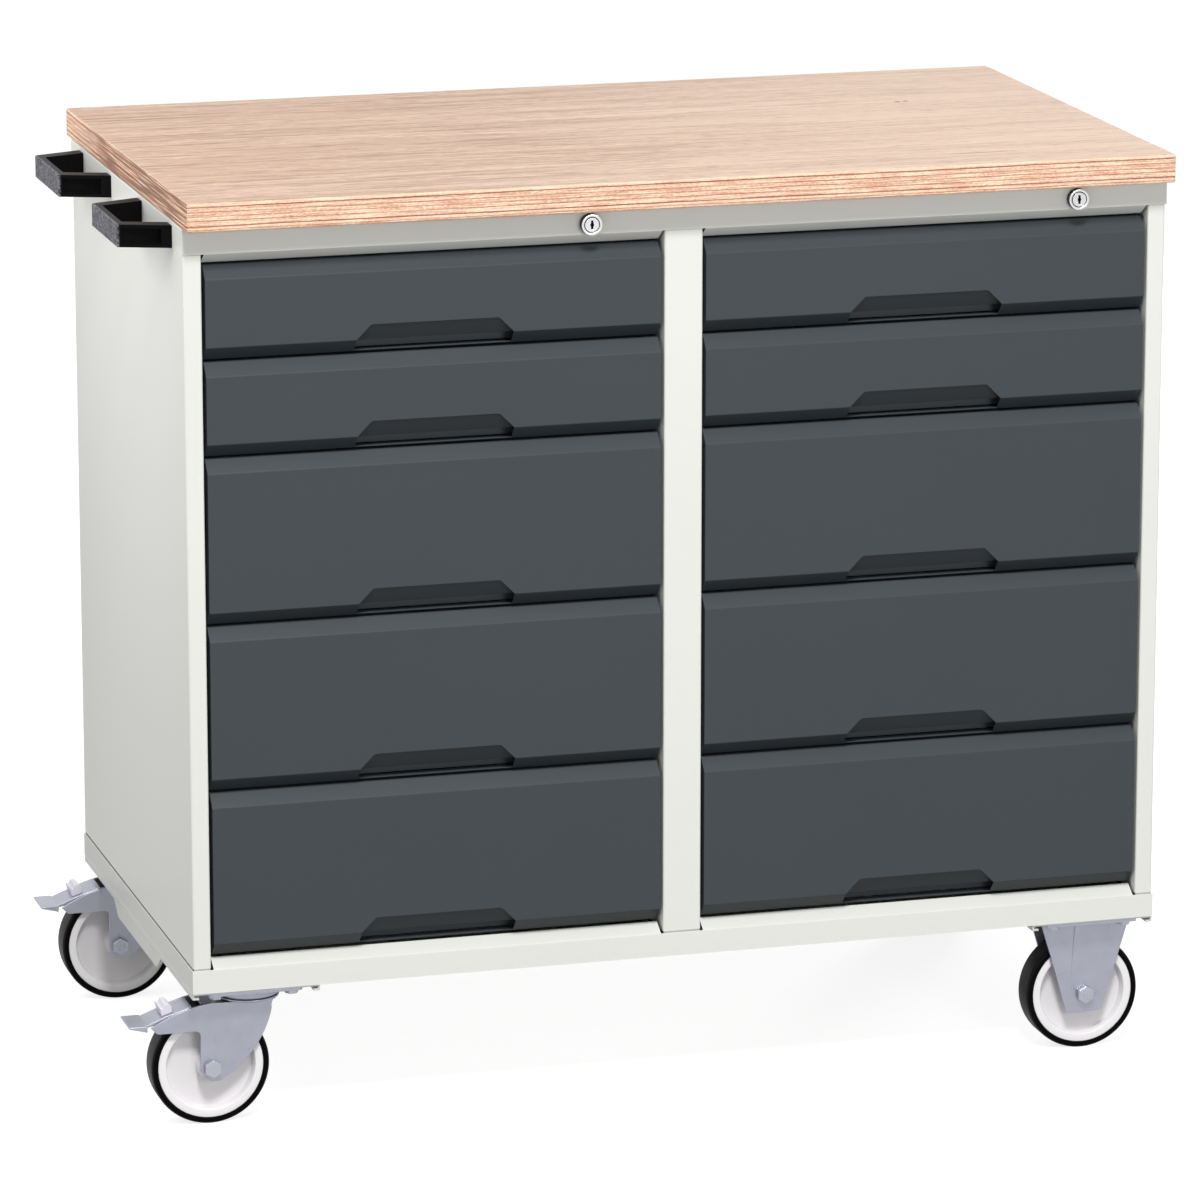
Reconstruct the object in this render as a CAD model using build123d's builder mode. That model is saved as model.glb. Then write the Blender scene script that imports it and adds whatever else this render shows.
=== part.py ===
"""Mobile workbench: two bays of five drawers under a plywood top, on four castors.

Millimetres, +Z up, +Y to the back. The origin is on the floor, under the middle of the whole object.
The drawers face -Y and the push handles and the swivel castors are at the -X end.
"""
import os

from build123d import *

os.makedirs("parts", exist_ok=True)

# Carcass
carcass_width = 1050.0
carcass_depth = 550.0
sheet = 1.2
bend_radius = 1.2
base_lip = 25.0
header_lip = 27.0
lip_slope_back = 16.0
base_slope_rise = 9.5
header_slope_drop = 11.0
slope_relief = 2.5
zone_margin = 11.5
post_face = 20.0
post_return = 62.0
divider_width = 41.0
rear_flange = 20.0
upright_width = 80.0
upright_setback = 36.0

# Worktop
worktop_depth = 600.0
worktop_thickness = 30.0
worktop_arris = 2.0

# Drawers, from the top one down
drawer_pitches = (100.0, 100.0, 175.0, 175.0, 175.0)
front_gap = 2.6
front_side_gap = 3.5
front_depth = 26.0
front_sheet = 1.2
bevel_height = 13.7
bevel_back = 12.5
grip_top_width = 134.0
grip_height = 15.5
grip_corner = 5.0
tab_drop = 17.0
tab_back = 9.0
tab_side_lap = 9.0
tab_seam = 3.0
box_sheet = 1.0
box_lift = 10.0
box_headroom = 18.0
backing_inset = 2.0
hem_width = 8.0
drawer_back_room = 25.0

# Drawer runners
runner_sheet = 1.2
runner_height = 26.0
runner_flange = 11.5
runner_gap = 13.25
runner_rise = 17.0
runner_setback = 3.0
runner_end_gap = 7.0
slide_clearance = 0.3
slide_flange = 9.0
slide_nose = 2.0

# Locks
lock_offset = 162.5
lock_height_in_lip = 11.3
lock_flange_radius = 11.0
lock_flange_proud = 8.5
lock_body_radius = 9.5
lock_body_length = 17.0
lock_barrel_radius = 7.5
lock_clearance = 0.3
key_slot_width = 2.2
key_slot_length = 9.0
key_slot_depth = 6.0
key_hole_radius = 1.9
cam_length = 19.0
cam_radius = 6.5
cam_thickness = 2.0

# Push handles
handle_reach = 52.5
handle_height = 23.5
handle_drop = 4.0
handle_foot_length = 164.0
handle_grip_length = 124.0
handle_grip_bar = 8.5
handle_foot_width = 20.0
handle_arm_width = 15.0
handle_setback = 45.0
handle_corner = 1.6
handle_inner_corner = 2.0
handle_pocket_height = 16.0
handle_pocket_depth = 12.0
handle_pocket_end_depth = 4.5
handle_pocket_margin = 10.0
handle_pocket_end_margin = 4.5
handle_edge = 0.9

# Castors
castor_setback = 45.0
rail_web = 2.0
rail_width = 135.0
rail_lip = 4.7
rail_return = 5.0
rail_end_inset = 2.0
rail_skirt_drop = 22.0
rail_skirt_top_length = 236.0
rail_skirt_low_length = 194.0
rail_skirt_corner = 6.0
plate_length = 100.0
plate_width = 85.0
plate_thickness = 3.0
plate_corner = 6.0
bolt_spacing_x = 80.0
bolt_spacing_y = 60.0
bolt_diameter = 8.0
bolt_hole_clearance = 0.5
bolt_head_across_flats = 13.0
bolt_head_height = 5.3
nut_height = 6.5
wheel_diameter = 125.0
tread_width = 32.0
tyre_thickness = 6.7
tyre_shoulder = 4.0
rim_ring = 8.3
rim_inset = 1.0
disc_thickness = 9.0
hub_radius = 12.5
hub_clearance = 1.0
axle_diameter = 10.0
axle_head_across_flats = 17.0
axle_head_height = 6.4
axle_nut_height = 8.4
axle_clearance = 0.4
wheel_side_clearance = 3.0
cheek_thickness = 3.0

# Swivel forks, measured from the swivel axis
trail = 43.0
crown_clearance = 3.0
crown_thickness = 3.0
crown_rear = 21.0
horn_reach = 27.5
crown_front = 56.0
cup_radius = 33.0
cup_edge = 2.0
race_cap_overlap = 1.0
race_cap_edge = 2.0
race_clearance = 0.6
race_height = 4.0
race_cap_height = 9.4
kingpin_radius = 6.0
kingpin_clearance = 0.4
kingpin_head_radius = 10.0
kingpin_head_height = 3.5
leg_end_radius = 12.0
leg_heel = 14.4
notch_corner = 5.0
arm_past_pin = 15.0
arm_tip_drop = 21.0
arm_under_drop = 28.0
arm_bow_reach = 70.0
arm_bow_drop = 4.0
belly_offset = 10.0
belly_rise = 30.0
neck_drop = 5.5
neck_hollow = 1.5

# Brake pedals
pedal_pin_angle = 135.0
pedal_pin_radius = 3.0
pedal_wheel_clearance = 1.6
pedal_boss_wall = 2.2
pedal_clearance = 0.3
pedal_side_clearance = 0.6
pedal_plate = 3.0
pedal_past_pin = 29.0
pedal_tip_gap = 3.5
pedal_tip_length = 19.5
pedal_tip_depth = 7.0
pedal_tip_edge = 2.0
release_tab_width = 26.0
release_tab_rise = 1.5
release_tab_foot = 9.5
release_tab_crest = 5.5
release_tab_shoulder = 3.5
release_tab_lap = 1.6
release_prong_reach = 4.0
release_prong_drop = 3.0

# Fixed castor brackets
bracket_foot_width = 39.0
bracket_corner = 5.0
bracket_below_axle = 20.0
bead_width = 9.5
bead_proud = 3.0
bead_offset = 16.0
bead_tip_rise = 11.0

# Places that follow from the sizes above
axle_z = wheel_diameter / 2
cheek_gap = tread_width + 2 * wheel_side_clearance
cheek_outer = cheek_gap / 2 + cheek_thickness
crown_low = wheel_diameter + crown_clearance
crown_high = crown_low + crown_thickness
cup_high = crown_high + race_height
plate_low = cup_high + race_clearance + race_cap_height
castor_height = plate_low + plate_thickness
pedal_boss = pedal_pin_radius + pedal_clearance + pedal_boss_wall
pedal_pin_place = Vector(wheel_diameter / 2 + pedal_wheel_clearance + pedal_boss, 0).rotate(
    Axis.Z, pedal_pin_angle
)
pedal_pin_offset = trail - pedal_pin_place.X
pedal_pin_height = axle_z + pedal_pin_place.Y
arm_reach = pedal_pin_offset + arm_past_pin
pedal_reach = arm_reach + pedal_tip_gap + pedal_tip_length
pedal_overhang = pedal_reach - rail_width / 2
body_x = max(pedal_overhang, handle_reach) / 2
left_x = body_x - carcass_width / 2
right_x = body_x + carcass_width / 2
front_y = -carcass_depth / 2
back_y = carcass_depth / 2
post_y = front_y + sheet
panel_back_y = back_y - sheet
base_z = castor_height + rail_web
drawer_zone = sum(drawer_pitches)
carcass_height = base_lip + header_lip + 2 * zone_margin + drawer_zone
floor_z = base_z + sheet
top_z = base_z + carcass_height
ceiling_z = top_z - sheet
opening_width = (carcass_width - 2 * post_face - divider_width) / 2
bay_offset = (opening_width + divider_width) / 2
bays = {"left": body_x - bay_offset, "right": body_x + bay_offset}
opening_low = base_z + base_lip
opening_high = top_z - header_lip
zone_low = opening_low + zone_margin
zone_high = zone_low + drawer_zone
front_width = opening_width - 2 * front_side_gap
box_width = opening_width - 2 * runner_gap
box_front_y = post_y + front_depth
box_depth = panel_back_y - sheet - drawer_back_room - box_front_y
runner_length = box_depth - box_sheet - runner_setback - runner_end_gap
castor_y = carcass_depth / 2 - castor_setback
swivel_x = left_x + rail_width / 2
fixed_x = right_x - rail_width / 2
rim_radius = wheel_diameter / 2 - tyre_thickness
lock_z = opening_high + lock_height_in_lip
castor_rows = {"front": -castor_y, "rear": castor_y}


def save(part, name):
    part.label = name
    export_step(part, f"parts/{name}.step")


def bolt_places(x, y):
    return [
        (x + i * bolt_spacing_x / 2, y + j * bolt_spacing_y / 2) for i in (-1, 1) for j in (-1, 1)
    ]


all_bolt_places = [
    place for x in (swivel_x, fixed_x) for y in castor_rows.values() for place in bolt_places(x, y)
]
bolt_hole = bolt_diameter / 2 + bolt_hole_clearance
fold_radius = bend_radius + sheet / 2


# Worktop, a thick plywood board with eased edges
with BuildPart() as worktop:
    with BuildSketch(Plane.XY.offset(top_z)):
        with Locations((body_x, 0)):
            Rectangle(carcass_width, worktop_depth)
    extrude(amount=worktop_thickness)
    fillet(worktop.edges(), worktop_arris)
save(worktop.part, "worktop")


def slope_profile(lip_z, rise):
    """Section of a sloped lip that is folded back from the edge of a front lip, in Y and Z."""
    fold = sheet if rise > 0 else -sheet
    return [
        (front_y, lip_z),
        (front_y + lip_slope_back, lip_z + rise),
        (front_y + lip_slope_back, lip_z + rise - fold),
        (front_y, lip_z - fold),
    ]


slope_length = opening_width - 2 * slope_relief

# Base pan, a tray with an upstanding rim and a sloped lip in front of each bay
with BuildPart() as base_pan:
    with BuildSketch(Plane.XY.offset(base_z)):
        with Locations((body_x, 0)):
            Rectangle(carcass_width, carcass_depth)
    extrude(amount=base_lip)
    with BuildSketch(Plane.XY.offset(floor_z)):
        with Locations((body_x, 0)):
            Rectangle(carcass_width - 2 * sheet, carcass_depth - 2 * sheet)
    extrude(amount=base_lip, mode=Mode.SUBTRACT)
    for bay_x in bays.values():
        with BuildSketch(Plane.YZ.offset(bay_x - slope_length / 2)):
            with BuildLine():
                Polyline(*slope_profile(opening_low, base_slope_rise), close=True)
            make_face()
        extrude(amount=slope_length)
    with BuildSketch(Plane.XY.offset(base_z)):
        with Locations(*all_bolt_places):
            Circle(bolt_hole)
    extrude(amount=sheet, mode=Mode.SUBTRACT)
save(base_pan.part, "base_pan")

# Top frame, the same tray upside down, with the lock holes in its front lip
with BuildPart() as top_frame:
    with BuildSketch(Plane.XY.offset(opening_high)):
        with Locations((body_x, 0)):
            Rectangle(carcass_width, carcass_depth)
    extrude(amount=header_lip)
    with BuildSketch(Plane.XY.offset(opening_high)):
        with Locations((body_x, 0)):
            Rectangle(carcass_width - 2 * sheet, carcass_depth - 2 * sheet)
    extrude(amount=header_lip - sheet, mode=Mode.SUBTRACT)
    for bay_x in bays.values():
        with BuildSketch(Plane.YZ.offset(bay_x - slope_length / 2)):
            with BuildLine():
                Polyline(*slope_profile(opening_high, -header_slope_drop), close=True)
            make_face()
        extrude(amount=slope_length)
    with BuildSketch(Plane.XZ.offset(-front_y)):
        with Locations(*[(bay_x + lock_offset, lock_z) for bay_x in bays.values()]):
            Circle(lock_body_radius + lock_clearance)
    extrude(amount=-2 * sheet, mode=Mode.SUBTRACT)
save(top_frame.part, "top_frame")


def side_panel(name, edge_x, inward):
    """Side wall with a folded front post and a rear flange, one sheet bent in plan."""
    wall = edge_x + inward * sheet * 3 / 2
    reveal = edge_x + inward * (post_face - sheet / 2)
    flange_y = panel_back_y - sheet * 3 / 2
    with BuildPart() as panel:
        with BuildSketch(Plane.XY.offset(floor_z)):
            with BuildLine():
                FilletPolyline(
                    (edge_x + inward * rear_flange, flange_y),
                    (wall, flange_y),
                    (wall, post_y + sheet / 2),
                    (reveal, post_y + sheet / 2),
                    (reveal, post_y + post_return),
                    radius=fold_radius,
                )
            trace(line_width=sheet)
        extrude(amount=ceiling_z - floor_z)
    save(panel.part, name)


side_panel("left_side_panel", left_x, 1)
side_panel("right_side_panel", right_x, -1)

# Back panel, a flat sheet behind the side flanges
with BuildPart() as back_panel:
    with BuildSketch(Plane.XY.offset(floor_z)):
        with Locations((body_x, panel_back_y - sheet / 2)):
            Rectangle(carcass_width - 2 * sheet, sheet)
    extrude(amount=ceiling_z - floor_z)
save(back_panel.part, "back_panel")

# Centre divider, a deep channel whose closed edge is the middle post
with BuildPart() as centre_divider:
    divider_back_y = panel_back_y - sheet
    with BuildSketch(Plane.XY.offset(floor_z)):
        with BuildLine():
            half_divider = (divider_width - sheet) / 2
            FilletPolyline(
                (body_x - half_divider, divider_back_y),
                (body_x - half_divider, post_y + sheet / 2),
                (body_x + half_divider, post_y + sheet / 2),
                (body_x + half_divider, divider_back_y),
                radius=fold_radius,
            )
        trace(line_width=sheet)
    extrude(amount=ceiling_z - floor_z)
save(centre_divider.part, "centre_divider")

# Rear uprights, channels on the side walls that carry the back ends of the outer runners
with BuildPart() as runner_uprights:
    upright_y = panel_back_y - 2 * sheet - upright_setback - upright_width / 2
    upright_depth = post_face - 2 * sheet
    for edge_x, inward in ((left_x, 1), (right_x, -1)):
        wall_x = edge_x + inward * 2 * sheet
        with BuildSketch(Plane.XY.offset(floor_z)):
            with Locations((wall_x + inward * upright_depth / 2, upright_y)):
                Rectangle(upright_depth, upright_width)
            with Locations((wall_x + inward * (upright_depth / 2 - sheet), upright_y)):
                Rectangle(upright_depth, upright_width - 2 * sheet, mode=Mode.SUBTRACT)
        extrude(amount=ceiling_z - floor_z)
save(runner_uprights.part, "runner_uprights")


# Castor rails, shallow channels under the base pan, from front to back
with BuildPart() as castor_rails:
    rail_length = carcass_depth - 2 * rail_end_inset
    for rail_x in (swivel_x, fixed_x):
        with BuildSketch(Plane.XZ.offset(-front_y - rail_end_inset)):
            with Locations((rail_x, base_z - (rail_web + rail_lip) / 2)):
                Rectangle(rail_width, rail_web + rail_lip)
            with Locations((rail_x, castor_height - (rail_lip - rail_web) / 2)):
                Rectangle(rail_width - 2 * rail_web, rail_lip - rail_web, mode=Mode.SUBTRACT)
            with Locations((rail_x, castor_height - rail_lip + rail_web / 2)):
                slot = rail_width - 2 * (rail_web + rail_return)
                Rectangle(slot, rail_web, mode=Mode.SUBTRACT)
        extrude(amount=-rail_length)
    with BuildSketch(Plane.XY.offset(castor_height)):
        with Locations(*all_bolt_places):
            Circle(bolt_hole)
    extrude(amount=rail_web, mode=Mode.SUBTRACT)
save(castor_rails.part, "castor_rails")

# Rail skirts, plates under the outer lips of the rails, between the castors
with BuildPart() as rail_skirts:
    skirt_top_z = castor_height - rail_lip
    skirt_low_z = base_z - rail_skirt_drop
    for skirt_x in (left_x, right_x - rail_web):
        with BuildSketch(Plane.YZ.offset(skirt_x)):
            with BuildLine():
                Polyline(
                    (-rail_skirt_top_length / 2, skirt_top_z),
                    (rail_skirt_top_length / 2, skirt_top_z),
                    (rail_skirt_low_length / 2, skirt_low_z),
                    (-rail_skirt_low_length / 2, skirt_low_z),
                    close=True,
                )
            skirt = make_face()
            fillet(skirt.vertices().group_by(Axis.Y)[0], rail_skirt_corner)
        extrude(amount=rail_web)
save(rail_skirts.part, "rail_skirts")

# Castor bolts, with their heads under the plates and their nuts inside the base pan
with BuildPart() as castor_bolts:
    with BuildSketch(Plane.XY.offset(plate_low - bolt_head_height)):
        with Locations(*all_bolt_places):
            RegularPolygon(bolt_head_across_flats / 2, 6, major_radius=False)
    extrude(amount=bolt_head_height)
    with BuildSketch(Plane.XY.offset(plate_low)):
        with Locations(*all_bolt_places):
            Circle(bolt_diameter / 2)
    extrude(amount=floor_z - plate_low)
    with BuildSketch(Plane.XY.offset(floor_z)):
        with Locations(*all_bolt_places):
            RegularPolygon(bolt_head_across_flats / 2, 6, major_radius=False)
    extrude(amount=nut_height)
save(castor_bolts.part, "castor_bolts")


def push_handle(name, middle_y):
    """Moulded handle: a tapered loop that stands out from the left rim, with pockets in its arms."""
    half_foot = handle_foot_length / 2
    half_grip = handle_grip_length / 2
    grip_x = left_x - handle_reach
    bar_x = grip_x + handle_grip_bar
    low_z = top_z - handle_drop - handle_height
    taper = (half_foot - half_grip) / handle_reach

    def outside(x):
        return half_foot - taper * (left_x - x)

    with BuildPart() as handle:
        with BuildSketch(Plane.XY.offset(low_z)):
            with BuildLine():
                Polyline(
                    (left_x, middle_y - half_foot),
                    (left_x, middle_y + half_foot),
                    (grip_x, middle_y + half_grip),
                    (grip_x, middle_y - half_grip),
                    close=True,
                )
            outline = make_face()
            grip_corners = outline.vertices().group_by(Axis.X)[0]
            fillet(grip_corners, handle_corner)
            with BuildLine():
                loop = Polyline(
                    (left_x, middle_y - half_foot + handle_foot_width),
                    (left_x, middle_y + half_foot - handle_foot_width),
                    (bar_x, middle_y + half_grip - handle_arm_width),
                    (bar_x, middle_y - half_grip + handle_arm_width),
                    close=True,
                )
                fillet(loop.vertices().group_by(Axis.X)[0], handle_inner_corner)
            make_face(mode=Mode.SUBTRACT)
        extrude(amount=handle_height)
        rim_faces = handle.faces().sort_by(Axis.Z)
        fillet(rim_faces[-1].edges() + rim_faces[0].edges(), handle_edge)
        pocket_z = low_z + (handle_height - handle_pocket_height) / 2
        near_x = left_x - handle_pocket_margin
        far_x = grip_x + handle_pocket_end_margin
        for side in (-1, 1):
            with BuildSketch(Plane.XY.offset(pocket_z)):
                with BuildLine():
                    Polyline(
                        (near_x, middle_y + side * (outside(near_x) + handle_pocket_depth)),
                        (far_x, middle_y + side * (outside(far_x) + handle_pocket_depth)),
                        (far_x, middle_y + side * (outside(far_x) - handle_pocket_end_depth)),
                        (near_x, middle_y + side * (outside(near_x) - handle_pocket_depth)),
                        close=True,
                    )
                make_face()
            extrude(amount=handle_pocket_height, mode=Mode.SUBTRACT)
    save(handle.part, name)


handle_y = carcass_depth / 2 - handle_setback - handle_foot_length / 2
push_handle("front_push_handle", -handle_y)
push_handle("rear_push_handle", handle_y)

# Lock housings, a proud collar on a body that passes through the header
with BuildPart() as lock_housings:
    lock_places = [(bay_x + lock_offset, lock_z) for bay_x in bays.values()]
    with BuildSketch(Plane.XZ.offset(-front_y)):
        with Locations(*lock_places):
            Circle(lock_flange_radius)
    extrude(amount=lock_flange_proud)
    with BuildSketch(Plane.XZ.offset(-front_y)):
        with Locations(*lock_places):
            Circle(lock_body_radius)
    extrude(amount=-lock_body_length)
    with BuildSketch(Plane.XZ.offset(-front_y + lock_flange_proud)):
        with Locations(*lock_places):
            Circle(lock_barrel_radius + lock_clearance)
    extrude(amount=-lock_flange_proud - lock_body_length, mode=Mode.SUBTRACT)
save(lock_housings.part, "lock_housings")


def lock_barrel(name, lock_x):
    """Key barrel with its slot in front and its cam behind the housing."""
    cam_y = front_y + lock_body_length + lock_clearance
    with BuildPart() as barrel:
        with BuildSketch(Plane.XZ.offset(-front_y + lock_flange_proud)):
            with Locations((lock_x, lock_z)):
                Circle(lock_barrel_radius)
        extrude(amount=-(cam_y - front_y + lock_flange_proud))
        with BuildSketch(Plane.XZ.offset(-front_y + lock_flange_proud)):
            with Locations((lock_x, lock_z)):
                Rectangle(key_slot_width, key_slot_length)
                Circle(key_hole_radius)
        extrude(amount=-key_slot_depth, mode=Mode.SUBTRACT)
        with BuildSketch(Plane.XZ.offset(-cam_y)):
            with Locations((lock_x + (cam_length - cam_radius) / 2, lock_z)):
                SlotCenterToCenter(cam_length - cam_radius, 2 * cam_radius)
            with Locations((lock_x, lock_z)):
                Circle(lock_barrel_radius + lock_clearance)
        extrude(amount=-cam_thickness)
    save(barrel.part, name)


for bay, bay_x in bays.items():
    lock_barrel(f"{bay}_lock_barrel", bay_x + lock_offset)


def drawer_levels():
    """Lower and upper limit of each drawer's share of the opening, from the top one down."""
    levels = []
    high = zone_high
    for pitch in drawer_pitches:
        levels.append((high - pitch, high))
        high -= pitch
    return levels


def front_section(low, high, depth):
    """Section of a drawer front in Y and Z: a flat face with a bevel folded above and below."""
    with BuildSketch() as section:
        with BuildLine():
            Polyline(
                (post_y + depth, low),
                (post_y + bevel_back, low),
                (post_y, low + bevel_height),
                (post_y, high - bevel_height),
                (post_y + bevel_back, high),
                (post_y + depth, high),
                close=True,
            )
        make_face()
        folds = section.vertices().sort_by(Axis.X)[:4]
        fillet(folds, bend_radius + front_sheet)
    return section.sketch


def drawer_front(name, bay_x, zone):
    """Folded front pan with a trapezoid grip in its lower edge and a slanted tab behind the grip."""
    low = zone[0] + front_gap / 2
    high = zone[1] - front_gap / 2
    flat_low = low + bevel_height
    grip_high = flat_low + grip_height
    half_top = grip_top_width / 2
    half_low = half_top + grip_height
    with BuildPart() as front:
        with BuildSketch(Plane.YZ.offset(bay_x - front_width / 2)):
            add(front_section(low, high, front_depth))
        extrude(amount=front_width)
        with BuildSketch(Plane.YZ.offset(bay_x - front_width / 2 + front_sheet)):
            add(front_section(low, high, front_depth + 2 * front_sheet))
            offset(amount=-front_sheet, mode=Mode.REPLACE)
        extrude(amount=front_width - 2 * front_sheet, mode=Mode.SUBTRACT)
        with BuildSketch(Plane.XZ.offset(-post_y)):
            with BuildLine():
                Polyline(
                    (bay_x - half_top, grip_high),
                    (bay_x + half_top, grip_high),
                    (bay_x + half_low, flat_low),
                    (bay_x + half_low, low + front_sheet),
                    (bay_x - half_low, low + front_sheet),
                    (bay_x - half_low, flat_low),
                    close=True,
                )
            grip = make_face()
            fillet(grip.vertices().group_by(Axis.Y)[-1], grip_corner)
        extrude(amount=-bevel_back, mode=Mode.SUBTRACT)
        tab_length = 2 * (half_low + tab_side_lap)
        tab_top = grip_high + tab_seam
        tab_low = grip_high - tab_drop
        with BuildSketch(Plane.YZ.offset(bay_x - tab_length / 2)):
            with BuildLine():
                Polyline(
                    (post_y + front_sheet, tab_top),
                    (post_y + front_sheet, grip_high),
                    (post_y + front_sheet + tab_back, tab_low),
                    (post_y + 2 * front_sheet + tab_back, tab_low),
                    (post_y + 2 * front_sheet, tab_top),
                    close=True,
                )
            make_face()
        extrude(amount=tab_length)
    save(front.part, name)


def channel(bay_x, wall, open_to, height, flange, low, start_y, length):
    """Section and run of one runner: a web at wall and two flanges that point in open_to."""
    middle = low + runner_height / 2
    plane = Plane.XZ.offset(-start_y)
    with BuildPart() as member:
        with BuildSketch(plane):
            with Locations((bay_x + wall + open_to * flange / 2, middle)):
                Rectangle(flange, height)
            with Locations((bay_x + wall + open_to * (flange / 2 + runner_sheet), middle)):
                Rectangle(flange, height - 2 * runner_sheet, mode=Mode.SUBTRACT)
        extrude(amount=-length)
    return member.part


slide_y = box_front_y + box_sheet + runner_setback
slide_height = runner_height - 2 * runner_sheet - 2 * slide_clearance


def runner_low(zone):
    return zone[0] + box_lift + runner_rise


def drawer_box(name, bay_x, zone):
    """Open box with hemmed rims, a backing plate for its front, and a slide on each side."""
    low = zone[0] + box_lift
    high = zone[1] - box_headroom
    middle_y = box_front_y + box_depth / 2
    front_low = zone[0] + front_gap / 2 + backing_inset
    front_high = zone[1] - front_gap / 2 - backing_inset
    with BuildPart() as box:
        with BuildSketch(Plane.XY.offset(low)):
            with Locations((bay_x, middle_y)):
                Rectangle(box_width, box_depth)
        extrude(amount=high - low)
        with BuildSketch(Plane.XY.offset(low + box_sheet)):
            with Locations((bay_x, middle_y)):
                Rectangle(box_width - 2 * box_sheet, box_depth - 2 * box_sheet)
        extrude(amount=high - low, mode=Mode.SUBTRACT)
        with BuildSketch(Plane.XY.offset(high - box_sheet)):
            for side in (-1, 1):
                with Locations((bay_x + side * (box_width - hem_width) / 2, middle_y)):
                    Rectangle(hem_width, box_depth)
        extrude(amount=box_sheet)
        with BuildSketch(Plane.XZ.offset(-box_front_y)):
            with Locations((bay_x, (front_low + front_high) / 2)):
                Rectangle(front_width - 2 * backing_inset, front_high - front_low)
        extrude(amount=-box_sheet)
    slides = []
    for side in (-1, 1):
        wall = side * box_width / 2
        run = (bay_x, wall, side, slide_height, slide_flange, runner_low(zone))
        slides.append(channel(*run, slide_y + slide_nose, runner_length - 2 * slide_nose))
    solids = [box.part.solid()] + [slide.solid() for slide in slides]
    save(Compound(children=solids), name)


for bay, bay_x in bays.items():
    for number, zone in enumerate(drawer_levels(), start=1):
        drawer_front(f"{bay}_drawer_front_{number}", bay_x, zone)
        drawer_box(f"{bay}_drawer_box_{number}", bay_x, zone)

# Cabinet runners, on the posts, the uprights and the divider
cabinet_members = []
for bay_x in bays.values():
    for zone in drawer_levels():
        for side in (-1, 1):
            wall = side * opening_width / 2
            run = (bay_x, wall, -side, runner_height, runner_flange, runner_low(zone))
            cabinet_members.append(channel(*run, slide_y, runner_length).solid())
save(Compound(children=cabinet_members), "cabinet_runners")


# Swivel plates, with the upper race and the kingpin that carries the fork
with BuildPart() as swivel_plates:
    for y in castor_rows.values():
        with BuildSketch(Plane.XY.offset(plate_low)):
            with Locations((swivel_x, y)):
                RectangleRounded(plate_length, plate_width, plate_corner)
            with Locations(*bolt_places(swivel_x, y)):
                Circle(bolt_hole, mode=Mode.SUBTRACT)
        extrude(amount=plate_thickness)
        race_low = cup_high + race_clearance
        cap_radius = cup_radius + race_cap_overlap
        with BuildSketch(Plane.XZ.offset(-y)):
            with BuildLine():
                Polyline(
                    (swivel_x, race_low),
                    (swivel_x + cap_radius - race_cap_edge, race_low),
                    (swivel_x + cap_radius, race_low + race_cap_edge),
                    (swivel_x + cap_radius, plate_low),
                    (swivel_x, plate_low),
                    close=True,
                )
            make_face()
        revolve(axis=Axis((swivel_x, y, 0), (0, 0, 1)))
        head_high = crown_low - race_clearance
        with BuildSketch(Plane.XY.offset(head_high)):
            with Locations((swivel_x, y)):
                Circle(kingpin_radius)
        extrude(amount=race_low - head_high)
        with BuildSketch(Plane.XY.offset(head_high - kingpin_head_height)):
            with Locations((swivel_x, y)):
                Circle(kingpin_head_radius)
        extrude(amount=kingpin_head_height)
save(swivel_plates.part, "swivel_plates")


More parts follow.
